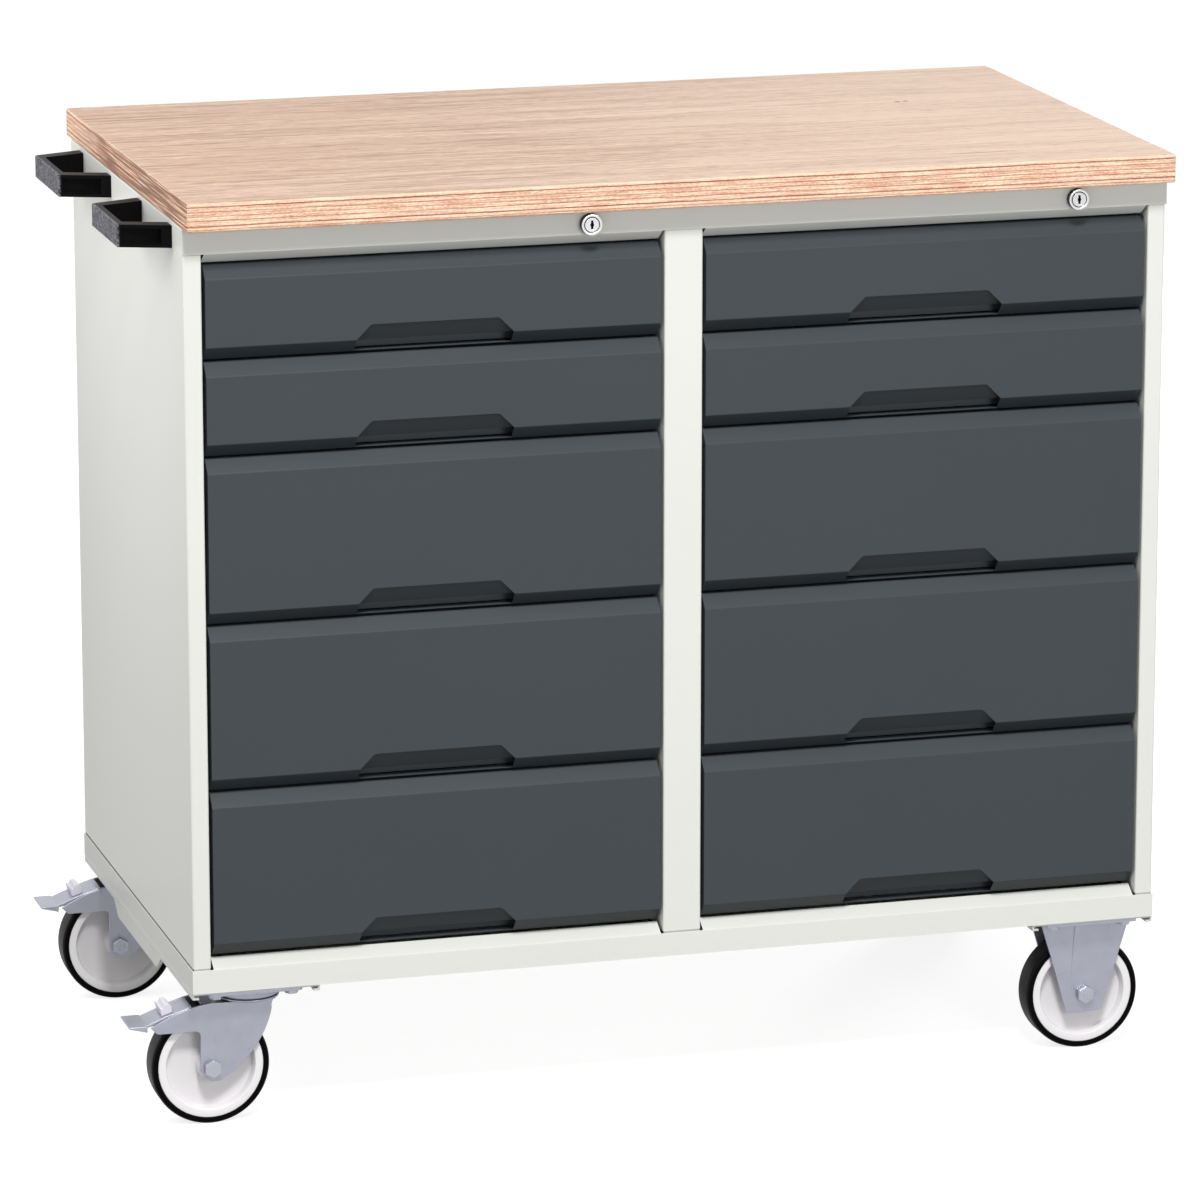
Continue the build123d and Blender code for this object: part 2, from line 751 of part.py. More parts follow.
def swivel_fork(name, y):
    """Pressed fork: a crown under the race and two cheeks with a leg to the axle and an arm to the pedal."""
    axle_x = swivel_x - trail
    leg_x = axle_x - leg_end_radius
    under_z = crown_high - arm_under_drop
    arm_tip = (swivel_x - arm_reach, crown_high - arm_tip_drop)
    arm_top = (axle_x, crown_high + crown_thickness / 2)
    horn = (swivel_x + horn_reach, cup_high)
    neck = (swivel_x + crown_rear, crown_low - neck_drop)
    hollow = (neck[0] + neck_hollow, crown_high)
    heel = (axle_x + leg_end_radius, axle_z - leg_end_radius)
    with BuildPart() as fork:
        for side in (-1, 1):
            with BuildSketch(Plane.XZ.offset(-y - side * cheek_gap / 2)):
                with BuildLine():
                    FilletPolyline(
                        (leg_x, axle_z),
                        (leg_x, under_z),
                        (arm_tip[0] + pedal_tip_depth, under_z),
                        arm_tip,
                        radius=notch_corner,
                    )
                    bow = (swivel_x - arm_bow_reach, crown_high - arm_bow_drop)
                    ThreePointArc(arm_tip, bow, arm_top)
                    Polyline(arm_top, (swivel_x, crown_high), horn)
                    ThreePointArc(horn, hollow, neck)
                    ThreePointArc(neck, (swivel_x + belly_offset, axle_z + belly_rise), heel)
                    ThreePointArc(heel, (axle_x, axle_z - leg_heel), (leg_x, axle_z))
                make_face()
                with Locations((axle_x, axle_z)):
                    Circle(axle_diameter / 2 + axle_clearance / 2, mode=Mode.SUBTRACT)
            extrude(amount=-side * cheek_thickness)
        with BuildSketch(Plane.XY.offset(crown_low)):
            with Locations((swivel_x + (crown_rear - crown_front) / 2, y)):
                Rectangle(crown_rear + crown_front - 2 * crown_thickness, cheek_gap)
        extrude(amount=crown_thickness)
        with BuildSketch(Plane.XZ.offset(-y)):
            with BuildLine():
                root = (swivel_x + cheek_outer, crown_low)
                lip = (swivel_x + cup_radius, cup_high - cup_edge)
                Polyline(root, (swivel_x, crown_low), (swivel_x, cup_high), (lip[0], cup_high), lip)
                TangentArc(root, lip, tangent=(0, 1))
            make_face()
        revolve(axis=Axis((swivel_x, y, 0), (0, 0, 1)))
        with BuildSketch(Plane.XY.offset(crown_low)):
            with Locations((swivel_x, y)):
                Circle(kingpin_radius + kingpin_clearance)
        extrude(amount=crown_thickness + race_height, mode=Mode.SUBTRACT)
        with BuildSketch(Plane.XZ.offset(-y + cheek_gap / 2)):
            with Locations((swivel_x - pedal_pin_offset, pedal_pin_height)):
                Circle(pedal_pin_radius)
        extrude(amount=-cheek_gap)
    save(fork.part, name)


def brake_pedal(name, y):
    """Rocker pedal on the fork's cross pin, with a wide tip in front of the cheeks."""
    pin_x = swivel_x - pedal_pin_offset
    tip_x = swivel_x - pedal_reach
    tip_root_x = swivel_x - arm_reach - pedal_tip_gap
    tip_high = crown_high - arm_tip_drop + pedal_plate
    inner_x = pin_x + pedal_past_pin
    half_plate = cheek_gap / 2 - pedal_side_clearance
    knee = pedal_pin_height + pedal_boss
    with BuildPart() as pedal:
        with BuildSketch(Plane.XZ.offset(-y + half_plate)):
            with BuildLine():
                Polyline(
                    (tip_root_x, tip_high),
                    (pin_x, knee + pedal_plate),
                    (inner_x, crown_high - pedal_plate / 2),
                    (inner_x, crown_high - 2 * pedal_plate),
                    (pin_x + pedal_boss, knee),
                    (pin_x, knee - pedal_plate),
                    (tip_root_x, tip_high - pedal_plate),
                    close=True,
                )
            make_face()
            with Locations((pin_x, pedal_pin_height)):
                Circle(pedal_boss)
                Circle(pedal_pin_radius + pedal_clearance, mode=Mode.SUBTRACT)
        extrude(amount=-2 * half_plate)
        with BuildSketch(Plane.XZ.offset(-y + cheek_outer)):
            with BuildLine():
                Polyline(
                    (tip_x, tip_high),
                    (tip_root_x, tip_high),
                    (tip_root_x, tip_high - pedal_tip_depth),
                    (tip_x, tip_high - pedal_tip_edge),
                    close=True,
                )
            make_face()
        extrude(amount=-2 * cheek_outer)
    save(pedal.part, name)


def release_tab(name, y):
    """Upright nose on the pedal, with a prong that is pushed to let the brake off."""
    pin_x = swivel_x - pedal_pin_offset
    knee = pedal_pin_height + pedal_boss + pedal_plate
    front_slope = (knee - (crown_high - arm_tip_drop + pedal_plate)) / (arm_past_pin + pedal_tip_gap)
    rear_slope = (crown_high - pedal_plate / 2 - knee) / pedal_past_pin
    foot_z = knee + rear_slope * release_tab_foot
    lap_z = knee - front_slope * release_tab_lap
    crest_z = crown_high + release_tab_rise
    prong_z = crest_z - release_prong_drop
    with BuildPart() as tab:
        with BuildSketch(Plane.XZ.offset(-y + release_tab_width / 2)):
            with BuildLine():
                Polyline(
                    (pin_x, knee),
                    (pin_x + release_tab_foot, foot_z),
                    (pin_x + release_tab_foot, crest_z - release_tab_shoulder),
                    (pin_x + release_tab_crest, crest_z),
                    (pin_x + release_tab_lap, crest_z),
                    (pin_x - release_tab_lap / 2, prong_z - release_tab_lap),
                    (pin_x - release_prong_reach, prong_z),
                    (pin_x - release_tab_lap, lap_z),
                    close=True,
                )
            make_face()
        extrude(amount=-release_tab_width)
    save(tab.part, name)


# Fixed brackets, a plate and two tapered cheeks with a pressed bead
with BuildPart() as fixed_brackets:
    for y in castor_rows.values():
        with BuildSketch(Plane.XY.offset(plate_low)):
            with Locations((fixed_x, y)):
                Rectangle(plate_length, plate_width)
            with Locations(*bolt_places(fixed_x, y)):
                Circle(bolt_hole, mode=Mode.SUBTRACT)
        extrude(amount=plate_thickness)
        foot_z = axle_z - bracket_below_axle
        for side in (-1, 1):
            with BuildSketch(Plane.XZ.offset(-y - side * cheek_gap / 2)):
                with BuildLine():
                    Polyline(
                        (fixed_x - plate_length / 2, plate_low),
                        (fixed_x + plate_length / 2, plate_low),
                        (fixed_x + bracket_foot_width / 2, foot_z),
                        (fixed_x - bracket_foot_width / 2, foot_z),
                        close=True,
                    )
                cheek = make_face()
                fillet(cheek.vertices().group_by(Axis.Y)[0], bracket_corner)
                with Locations((fixed_x, axle_z)):
                    Circle(axle_diameter / 2 + axle_clearance / 2, mode=Mode.SUBTRACT)
            extrude(amount=-side * cheek_thickness)
            bead_x = fixed_x - bead_offset
            bead_y = y + side * cheek_outer
            with BuildSketch(Plane.XY.offset(plate_low)) as bead_root:
                with BuildLine():
                    Polyline(
                        (bead_x - bead_width / 2, bead_y),
                        (bead_x + bead_width / 2, bead_y),
                        (bead_x + bead_width / 4, bead_y + side * bead_proud),
                        close=True,
                    )
                make_face()
            loft([bead_root.sketch.face(), Vertex(bead_x, bead_y, axle_z + bead_tip_rise)])
save(fixed_brackets.part, "fixed_brackets")


def axle(x, y):
    """Axle bolt: a shank across the cheeks with a hexagon head and a nut."""
    with BuildPart() as bolt:
        with BuildSketch(Plane.XZ.offset(-y + cheek_outer)):
            with Locations((x, axle_z)):
                Circle(axle_diameter / 2)
        extrude(amount=-2 * cheek_outer)
        with BuildSketch(Plane.XZ.offset(-y + cheek_outer)):
            with Locations((x, axle_z)):
                RegularPolygon(axle_head_across_flats / 2, 6, major_radius=False, rotation=30)
        extrude(amount=axle_head_height)
        with BuildSketch(Plane.XZ.offset(-y - cheek_outer)):
            with Locations((x, axle_z)):
                RegularPolygon(axle_head_across_flats / 2, 6, major_radius=False, rotation=30)
        extrude(amount=-axle_nut_height)
    return bolt.part


def half_section(points, y):
    """Full turned section, from points of its +Y half given as radius and half width."""
    upper = [(y + across, axle_z + radius) for radius, across in points]
    lower = [(y - across, axle_z + radius) for radius, across in reversed(points)]
    return upper + lower


def wheel(name, x, y):
    """Moulded wheel with a hub, a thin disc and a broad rim ring."""
    half_hub = cheek_gap / 2 - hub_clearance
    half_rim = tread_width / 2 - rim_inset
    ring_low = rim_radius - rim_ring
    points = [
        (axle_diameter / 2 + axle_clearance, half_hub),
        (hub_radius, half_hub),
        (hub_radius + disc_thickness / 3, disc_thickness / 2),
        (ring_low - disc_thickness / 3, disc_thickness / 2),
        (ring_low, half_rim),
        (rim_radius, half_rim),
    ]
    with BuildPart() as turned:
        with BuildSketch(Plane.YZ.offset(x)):
            with BuildLine():
                Polyline(*half_section(points, y), close=True)
            make_face()
        revolve(axis=Axis((x, y, axle_z), (0, 1, 0)))
    save(turned.part, name)


def tyre(name, x, y):
    """Solid tyre with eased shoulders on the rim."""
    radius = wheel_diameter / 2
    points = [
        (rim_radius, tread_width / 2),
        (radius - tyre_shoulder, tread_width / 2),
        (radius, tread_width / 2 - tyre_shoulder),
    ]
    with BuildPart() as ring:
        with BuildSketch(Plane.YZ.offset(x)):
            with BuildLine():
                Polyline(*half_section(points, y), close=True)
            make_face()
        revolve(axis=Axis((x, y, axle_z), (0, 1, 0)))
    save(ring.part, name)


for row, y in castor_rows.items():
    swivel_fork(f"{row}_swivel_fork", y)
    save(axle(swivel_x - trail, y), f"{row}_swivel_axle")
    brake_pedal(f"{row}_brake_pedal", y)
    release_tab(f"{row}_release_tab", y)
    wheel(f"{row}_swivel_wheel", swivel_x - trail, y)
    tyre(f"{row}_swivel_tyre", swivel_x - trail, y)
    wheel(f"{row}_fixed_wheel", fixed_x, y)
    tyre(f"{row}_fixed_tyre", fixed_x, y)

fixed_axles = [axle(fixed_x, y).solid() for y in castor_rows.values()]
save(Compound(children=fixed_axles), "fixed_axles")
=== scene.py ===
"""Mobile workbench with drawers: finishes, modelled castors and locks, stage, light and camera."""
import math

import bmesh
import bpy
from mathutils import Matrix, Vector


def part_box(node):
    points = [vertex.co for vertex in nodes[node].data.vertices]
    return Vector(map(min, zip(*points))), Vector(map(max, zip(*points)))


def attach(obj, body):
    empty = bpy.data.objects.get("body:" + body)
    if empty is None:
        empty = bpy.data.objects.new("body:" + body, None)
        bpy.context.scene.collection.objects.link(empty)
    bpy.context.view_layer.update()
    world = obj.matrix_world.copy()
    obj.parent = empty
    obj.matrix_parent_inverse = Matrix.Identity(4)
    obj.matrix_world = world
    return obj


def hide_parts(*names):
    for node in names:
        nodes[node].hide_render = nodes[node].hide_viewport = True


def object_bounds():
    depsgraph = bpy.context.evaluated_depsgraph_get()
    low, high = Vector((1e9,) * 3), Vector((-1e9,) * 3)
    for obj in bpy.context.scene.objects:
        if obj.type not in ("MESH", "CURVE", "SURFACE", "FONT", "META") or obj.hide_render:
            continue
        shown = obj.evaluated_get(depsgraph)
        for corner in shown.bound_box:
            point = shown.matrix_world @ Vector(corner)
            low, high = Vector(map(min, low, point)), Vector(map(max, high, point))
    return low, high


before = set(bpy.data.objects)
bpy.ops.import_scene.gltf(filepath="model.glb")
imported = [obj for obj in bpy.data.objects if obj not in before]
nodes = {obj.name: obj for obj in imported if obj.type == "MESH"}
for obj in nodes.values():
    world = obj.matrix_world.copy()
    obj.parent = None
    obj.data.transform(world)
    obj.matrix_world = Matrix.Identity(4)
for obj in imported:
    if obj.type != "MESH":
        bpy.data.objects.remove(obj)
cad_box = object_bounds()
rows = ("front", "rear")
bays = ("left", "right")
drawers = range(1, 6)


def srgb(red, green, blue):
    """Linear colour of a tone written as it looks, 0 to 255."""
    tones = (red / 255, green / 255, blue / 255)
    return tuple(t / 12.92 if t <= 0.04045 else ((t + 0.055) / 1.055) ** 2.4 for t in tones) + (1.0,)


def shade(colour, share):
    """A colour with a share of its light."""
    return tuple(min(1.0, channel * share) for channel in colour[:3]) + (1.0,)


# Tones of the finishes
light_grey = srgb(232, 233, 227)
anthracite = srgb(66, 71, 75)
box_grey = srgb(206, 208, 206)
zinc_grey = srgb(172, 174, 187)
bolt_highlight_grey = srgb(184, 186, 196)
joint_shadow_black = srgb(26, 27, 27)
highlight_white = srgb(250, 250, 247)
lock_painted_shade = srgb(58, 58, 60)
handle_black = srgb(10, 10, 12)
grip_sheen_grey = srgb(124, 124, 130)
grip_sheen_dark = srgb(50, 50, 54)
wheel_white = srgb(246, 244, 245)
disc_shaded_white = srgb(231, 228, 230)
tyre_black = srgb(8, 8, 9)
chrome_tone = srgb(236, 236, 238)
tab_white = srgb(226, 222, 232)
veneer_light = srgb(244, 222, 194)
veneer_pale = srgb(238, 210, 189)
veneer_mid = srgb(225, 196, 175)
veneer_dark = srgb(207, 174, 152)
veneer_vein = srgb(160, 128, 108)
ply_cream = srgb(254, 229, 198)
ply_peach = srgb(241, 197, 168)
ply_salmon = srgb(219, 158, 130)
ply_glue = srgb(140, 84, 78)
end_brown = srgb(126, 88, 70)
knot_brown = srgb(74, 52, 44)
floor_grey = srgb(186, 186, 186)
white = (1.0, 1.0, 1.0, 1.0)

# Painted shade and light, as shares of the paint's light: the header's shadow under the worktop's overhang,
# shade on the low rims and below the drawer fronts, and light on the plate behind their grips
header_painted_shadow = 0.92
low_rim_painted_shade = 0.86
drawer_under_painted_shade = 0.5
grip_plate_painted_light = 1.3

# Heights of the painted shadow lines in the joints of the sides, at the rims of the base pan and of the top
# frame
base_rim_top = 0.175
top_rim_low = 0.923

# Depths from a piece's outer face: the dark paint behind a grip, a slide member and the plate in front of
# it, the painted sheen on the face of a push handle's grip, and the bright face of a lock, with painted
# shade behind it
plate_paint_depth = 0.0006
slide_depth = 0.0088
slide_setback = 0.005
grip_face_depth = (0.001, 0.003)
lock_face_depth = 0.0005

# Worktop grain: the figure and the marks are the middle in X and Y, half length and half width; seams and
# bands are the depth below the top as a share of the thickness, half width and strength
grain_wander = 0.014
growth_lines = 14
figure = (-0.16, -0.2, 0.34, 0.09)
veneer_marks = (
    (0.382, 0.093, 0.0045, 0.0036),
    (0.392, 0.095, 0.0042, 0.0032),
    (0.36, -0.235, 0.05, 0.0016),
)
ply_sway = 0.09
ply_seams = (
    (0.13, 0.03, 1.1),
    (0.3, 0.024, 0.8),
    (0.45, 0.024, 0.7),
    (0.6, 0.024, 0.8),
    (0.78, 0.03, 1.1),
    (0.9, 0.024, 0.6),
)
ply_bands = ((0.05, 0.06, 0.6), (0.24, 0.04, 0.35), (0.69, 0.04, 0.6), (0.85, 0.04, 0.6))
# End grain: strength of its brown streaks, partly painted shade, and the span in Y over which they fade
# towards the back as painted light
end_grain_dark = 0.85
end_grain_light_fade = (0.06, 0.27)

# Eased edges of the CAD pieces
front_arris = 0.0002
fine_arris = 0.0003
sheet_arris = 0.0004
fork_arris = 0.0006
soft_arris = 0.0008

# Sides of the round pieces
wheel_sides = 144
collar_sides = 96

# Stage: how bright the floor looks by itself, seen straight and mirrored, and the light of the sky
floor_size = 80
floor_seen = 0.8
floor_mirrored = 0.4
sky_light = 0.38

# Camera: where it stands, how far it dips and turns, and its lens
camera_place = (-1.9086, -6.7609, 2.1833)
camera_dip = 0.2391
camera_turn = -0.2779
camera_lens = 201.8


class Wire:
    """A value in a node tree; a sum on it adds a Math node."""

    def __init__(self, owner, socket):
        self.owner = owner
        self.socket = socket

    def math(self, operation, first, second):
        return self.owner.node("ShaderNodeMath", {"operation": operation}, {0: first, 1: second})

    def __add__(self, other):
        return self.math("ADD", self, other)

    def __radd__(self, other):
        return self.math("ADD", other, self)

    def __sub__(self, other):
        return self.math("SUBTRACT", self, other)

    def __rsub__(self, other):
        return self.math("SUBTRACT", other, self)

    def __mul__(self, other):
        return self.math("MULTIPLY", self, other)

    def __rmul__(self, other):
        return self.math("MULTIPLY", other, self)

    def __truediv__(self, other):
        return self.math("DIVIDE", self, other)

    def __mod__(self, other):
        return self.math("MODULO", self, other)

    def __lt__(self, other):
        return self.math("LESS_THAN", self, other)


class NodeTree:
    """The nodes of a material or of the world; node() adds each of them."""

    def __init__(self, tree):
        self.tree = tree

    def plug(self, socket, value):
        if isinstance(value, Wire):
            self.tree.links.new(value.socket, socket)
        else:
            socket.default_value = value

    def node(self, kind, settings, sockets, output=0):
        made = self.tree.nodes.new(kind)
        for key, value in settings.items():
            if key == "stops":
                ramp = made.color_ramp
                while len(ramp.elements) < len(value):
                    ramp.elements.new(1.0)
                for element, (position, colour) in zip(ramp.elements, value):
                    element.position = position
                    element.color = colour
            else:
                setattr(made, key, value)
        for key, value in sockets.items():
            self.plug(made.inputs[key], value)
        return Wire(self, made.outputs[output])

    def ray(self, kind):
        """1 on rays of a kind and 0 on all others."""
        return self.node("ShaderNodeLightPath", {}, {}, kind)


class Finish(NodeTree):
    """A procedural material on Object coordinates."""

    def __init__(self, name):
        self.material = bpy.data.materials.new(name)
        self.material.use_nodes = True
        super().__init__(self.material.node_tree)
        self.shader = self.tree.nodes["Principled BSDF"]
        self.place = self.node("ShaderNodeTexCoord", {}, {}, "Object")

    def set(self, sockets):
        for name, value in sockets.items():
            self.plug(self.shader.inputs[name], value)

    def axis(self, name):
        return self.node("ShaderNodeSeparateXYZ", {}, {0: self.place}, name)

    def facing(self, name):
        """How far a face points along an axis, -1 to 1."""
        normal = self.node("ShaderNodeNewGeometry", {}, {}, "Normal")
        return self.node("ShaderNodeSeparateXYZ", {}, {0: normal}, name)

    def square_to(self, name):
        """1 on faces square to an axis and 0 on faces along it."""
        facing = self.facing(name)
        return self.step(facing * facing, 0.4, 0.7)

    def noise(self, size, stretch=(1, 1, 1), detail=2.0, place=None):
        """Noise with features of about size metres, drawn out along the axes with a larger stretch."""
        scale = [1 / (size * share) for share in stretch]
        drawn = self.node("ShaderNodeMapping", {}, {"Vector": place or self.place, "Scale": scale})
        return self.node("ShaderNodeTexNoise", {}, {"Vector": drawn, "Scale": 1.0, "Detail": detail})

    def mark(self, name):
        """A value that a piece's own points carry."""
        return self.node("ShaderNodeAttribute", {"attribute_name": name}, {}, "Fac")

    def mix(self, share, first, second):
        return self.node("ShaderNodeMix", {"data_type": "RGBA"}, {0: share, 6: first, 7: second}, 2)

    def ramp(self, share, *stops):
        return self.node("ShaderNodeValToRGB", {"stops": stops}, {0: share})

    def step(self, value, low, high):
        """0 below low, 1 above high, and smooth between them."""
        sockets = {"Value": value, "From Min": low, "From Max": high}
        return self.node("ShaderNodeMapRange", {"interpolation_type": "SMOOTHSTEP"}, sockets)

    def apart(self, value, place):
        """How far a value is from a place."""
        return self.node("ShaderNodeMath", {"operation": "ABSOLUTE"}, {0: value - place})

    def bump(self, height, depth):
        sockets = {"Height": height, "Distance": depth, "Strength": 1.0}
        return self.node("ShaderNodeBump", {}, sockets)


def sprayed(finish, colour):
    """Paint with a slow drift of tone, and the height of its fine orange peel."""
    drift = finish.noise(0.25, detail=3.0)
    peel = finish.noise(0.0014)
    return finish.mix(drift, shade(colour, 0.97), shade(colour, 1.03)), peel


def powder_coat(
    name, colour, roughness=0.36, specular=0.35, peel_depth=0.00003, under=1.0, side=1.0, seams=()
):
    """Baked paint; under and side are painted shade, as shares of its light, on faces that point down
    and on faces square to X.

    Each seam is a painted line across the sides, fainter on the front, a painted shadow where its tone is
    dark and a painted highlight where it is light: its height, half width, strength and tone.
    """
    finish = Finish(name)
    paint, peel = sprayed(finish, colour)
    on_side = finish.square_to("X")
    paint = finish.mix(finish.step(0 - finish.facing("Z"), 0.2, 0.5), paint, shade(colour, under))
    paint = finish.mix(on_side, paint, shade(colour, side))
    for height, width, strength, tone in seams:
        line = 1 - finish.step(finish.apart(finish.axis("Z"), height), 0.6 * width, width)
        paint = finish.mix(strength * line * (0.45 + 0.55 * on_side), paint, tone)
    finish.set({
        "Base Color": paint,
        "Roughness": roughness + 0.12 * (peel - 0.5),
        "Normal": finish.bump(peel, peel_depth),
        "Specular IOR Level": specular,
    })
    return finish.material


def spot(finish, place):
    """1 in the middle of an ellipse on the worktop and 0 outside it."""
    x, y, length, width = place
    along = (finish.axis("X") - x) / length
    across = (finish.axis("Y") - y) / width
    return 1 - finish.step(along * along + across * across, 0.1, 1.0)


def veneer(finish):
    """Beech veneer: soft bands, fine lines, flecks and pores along X, a figure and a few dark marks.

    The lines and flecks are stronger towards the handle end, and the tone lightens away from it as painted
    light.
    """
    lean = finish.noise(0.3, (2, 1, 1)) - 0.5
    offset = finish.node("ShaderNodeCombineXYZ", {}, {"Y": grain_wander * lean})
    bent = finish.node("ShaderNodeVectorMath", {"operation": "ADD"}, {0: finish.place, 1: offset})
    band = finish.noise(0.03, (20, 1, 1), 3.0, bent)
    thread = finish.noise(0.006, (30, 1, 1), 3.0, bent)
    fleck = finish.noise(0.0045, (6, 1, 1), 3.0, bent)
    pore = finish.noise(0.0013, (9, 1, 1), 2.0, bent)
    rings = growth_lines * finish.noise(0.08, (11, 1, 1), 1.5, bent) % 1.0
    line = 1 - finish.step(finish.apart(rings, 0.5), 0.03, 0.2)
    figured = 0.22 * finish.step(finish.noise(0.12, (2.5, 1, 1)), 0.45, 0.7) + 0.5 * spot(finish, figure)
    # Drift across X: the tone lightens towards +X as painted light
    drift = finish.step(finish.axis("X"), -0.6, 0.6)
    tone = 0.5 * band + 0.5 * pore + 0.3 * (drift - 0.62)
    colour = finish.ramp(tone, (0.36, veneer_dark), (0.49, veneer_mid), (0.62, veneer_pale))
    colour = finish.mix((0.66 - 0.5 * drift) * finish.step(thread, 0.57, 0.61), colour, veneer_vein)
    colour = finish.mix(0.28 * (1 - finish.step(thread, 0.38, 0.43)), colour, veneer_light)
    colour = finish.mix(0.34 * (1 - finish.step(fleck, 0.36, 0.41)), colour, veneer_light)
    colour = finish.mix(figured * line * (0.3 + fleck), colour, veneer_vein)
    colour = finish.mix((0.46 - 0.24 * drift) * finish.step(fleck, 0.59, 0.64), colour, veneer_vein)
    for place in veneer_marks:
        colour = finish.mix(0.85 * spot(finish, place), colour, knot_brown)
    return colour, fleck + pore - line * figured


def ply_stack(finish):
    """Edge of the board: fine streaks along the plies, and dark seams between them that wander a little."""
    low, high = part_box("worktop")
    thickness = high.z - low.z
    sway = finish.noise(0.22, detail=2.0) - 0.5
    depth = (high.z - finish.axis("Z")) / thickness + ply_sway * sway
    sockets = {"X": finish.axis("X"), "Y": finish.axis("Y"), "Z": thickness * depth}
    laid = finish.node("ShaderNodeCombineXYZ", {}, sockets)
    streak = finish.noise(0.0014, (30, 30, 1), 3.0, laid)
    fibre = finish.noise(0.0009, (4, 4, 1), 2.0, laid)
    patch = finish.noise(0.02, (4, 4, 0.2), 2.0, laid)
    tone = 0.6 * streak + 0.4 * fibre
    colour = finish.ramp(tone, (0.41, ply_salmon), (0.5, ply_peach), (0.58, ply_cream))
    for place, width, strength in ply_bands:
        share = 1 - finish.step(finish.apart(depth, place), 0.0, width)
        colour = finish.mix(strength * share * (0.4 + streak), colour, ply_cream)
    groove = 0.0
    for place, width, strength in ply_seams:
        share = 1 - finish.step(finish.apart(depth, place), 0.2 * width, width)
        seam = strength * share * (0.3 + 1.1 * patch)
        colour = finish.mix(seam, colour, ply_glue)
        groove = groove + seam
    return colour, streak - groove


def plywood():
    """Oiled plywood: veneer above and below, plies round the edge, brown streaks on the end grain, partly
    its own tone and partly painted shade, fading out towards the back as painted light.
    """
    finish = Finish("plywood")
    face, grain = veneer(finish)
    edge, ridges = ply_stack(finish)
    on_face = finish.square_to("Z")
    # Brown streaks on the end grain, partly its own tone and partly painted shade, fading towards the back
    # as painted light
    end_grain_and_shade = finish.step(finish.noise(0.0018, (1, 60, 1), 3.0), 0.38, 0.56)
    end_grain_and_shade = end_grain_and_shade * (1 - finish.step(finish.axis("Y"), *end_grain_light_fade))
    end_grain_and_shade = end_grain_dark * end_grain_and_shade * finish.square_to("X")
    finish.set({
        "Base Color": finish.mix(on_face, finish.mix(end_grain_and_shade, edge, end_brown), face),
        "Roughness": 0.48 + 0.12 * (grain - 0.5),
        "Normal": finish.bump(on_face * grain + (1 - on_face) * ridges, 0.0002),
        "Specular IOR Level": 0.25,
    })
    return finish.material


def box_coat():
    """Drawer box paint, anthracite on the face of the plate behind the grip, lifted there as painted light,
    with zinc on the slide members.
    """
    finish = Finish("drawer_box_paint")
    paint, peel = sprayed(finish, box_grey)
    plate_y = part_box("left_drawer_box_1")[0].y
    on_plate = finish.axis("Y") < plate_y + plate_paint_depth
    on_slide = 0.0
    for bay in bays:
        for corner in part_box(f"{bay}_drawer_box_1"):
            on_slide = on_slide + (finish.apart(finish.axis("X"), corner.x) < slide_depth)
    on_slide = on_slide * (1 - (finish.axis("Y") < plate_y + slide_setback))
    # The plate behind the grip is anthracite, lightened as painted light in the grip's shadow
    paint = finish.mix(on_plate, paint, shade(anthracite, grip_plate_painted_light))
    finish.set({
        "Base Color": finish.mix(on_slide, paint, zinc_grey),
        "Roughness": 0.45 - 0.12 * on_slide + 0.12 * (peel - 0.5),
        "Metallic": 0.7 * on_slide,
        "Normal": finish.bump(peel, 0.00003),
        "Specular IOR Level": 0.25,
    })
    return finish.material


def zinc_plate(name, tone):
    """Bright zinc plating, faintly clouded and brushed."""
    finish = Finish(name)
    cloud = finish.noise(0.018, detail=3.0)
    brush = finish.noise(0.0012, (1, 1, 12))
    finish.set({
        "Base Color": finish.mix(cloud, shade(tone, 0.9), shade(tone, 1.1)),
        "Roughness": 0.3 + 0.1 * (cloud - 0.5) + 0.08 * (brush - 0.5),
        "Metallic": 0.7,
        "Normal": finish.bump(brush, 0.00001),
    })
    return finish.material


def tab_moulding():
    """Pale plastic of the release tabs, with a fine grain."""
    finish = Finish("release_plastic")
    grain = finish.noise(0.001)
    finish.set({
        "Base Color": finish.mix(grain, shade(tab_white, 0.94), shade(tab_white, 1.06)),
        "Roughness": 0.4 + 0.15 * (grain - 0.5),
        "Normal": finish.bump(grain, 0.00003),
        "Specular IOR Level": 0.4,
    })
    return finish.material


def handle_moulding():
    """Black plastic with a fine grain, with a painted sheen, grey and speckled by the grain, on the outer
    face of the grip.
    """
    finish = Finish("handle_plastic")
    face_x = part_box("front_push_handle")[0].x
    on_grip = 1 - finish.step(finish.axis("X") - face_x, *grip_face_depth)
    grain = finish.noise(0.0011)
    speck = finish.noise(0.0024, detail=3.0)
    black = finish.mix(grain, shade(handle_black, 0.5), shade(handle_black, 1.5))
    # Painted sheen on the grip's outer face: grey, speckled by the grain
    grip_sheen = finish.ramp(speck, (0.4, grip_sheen_dark), (0.62, grip_sheen_grey))
    finish.set({
        "Base Color": finish.mix(on_grip, black, grip_sheen),
        "Roughness": 0.4 + 0.15 * (grain - 0.5),
        "Normal": finish.bump(grain, 0.00012),
        "Specular IOR Level": 0.05,
    })
    return finish.material


def wheel_moulding():
    """White polyamide, with painted shade in the disc, which the piece marks as its recess."""
    finish = Finish("wheel_plastic")
    texture = finish.noise(0.002)
    finish.set({
        # The recessed disc is painted a little darker as shade
        "Base Color": finish.mix(finish.mark("recess"), wheel_white, disc_shaded_white),
        "Roughness": 0.36 + 0.1 * (texture - 0.5),
        "Normal": finish.bump(texture, 0.00002),
        "Specular IOR Level": 0.4,
    })
    return finish.material


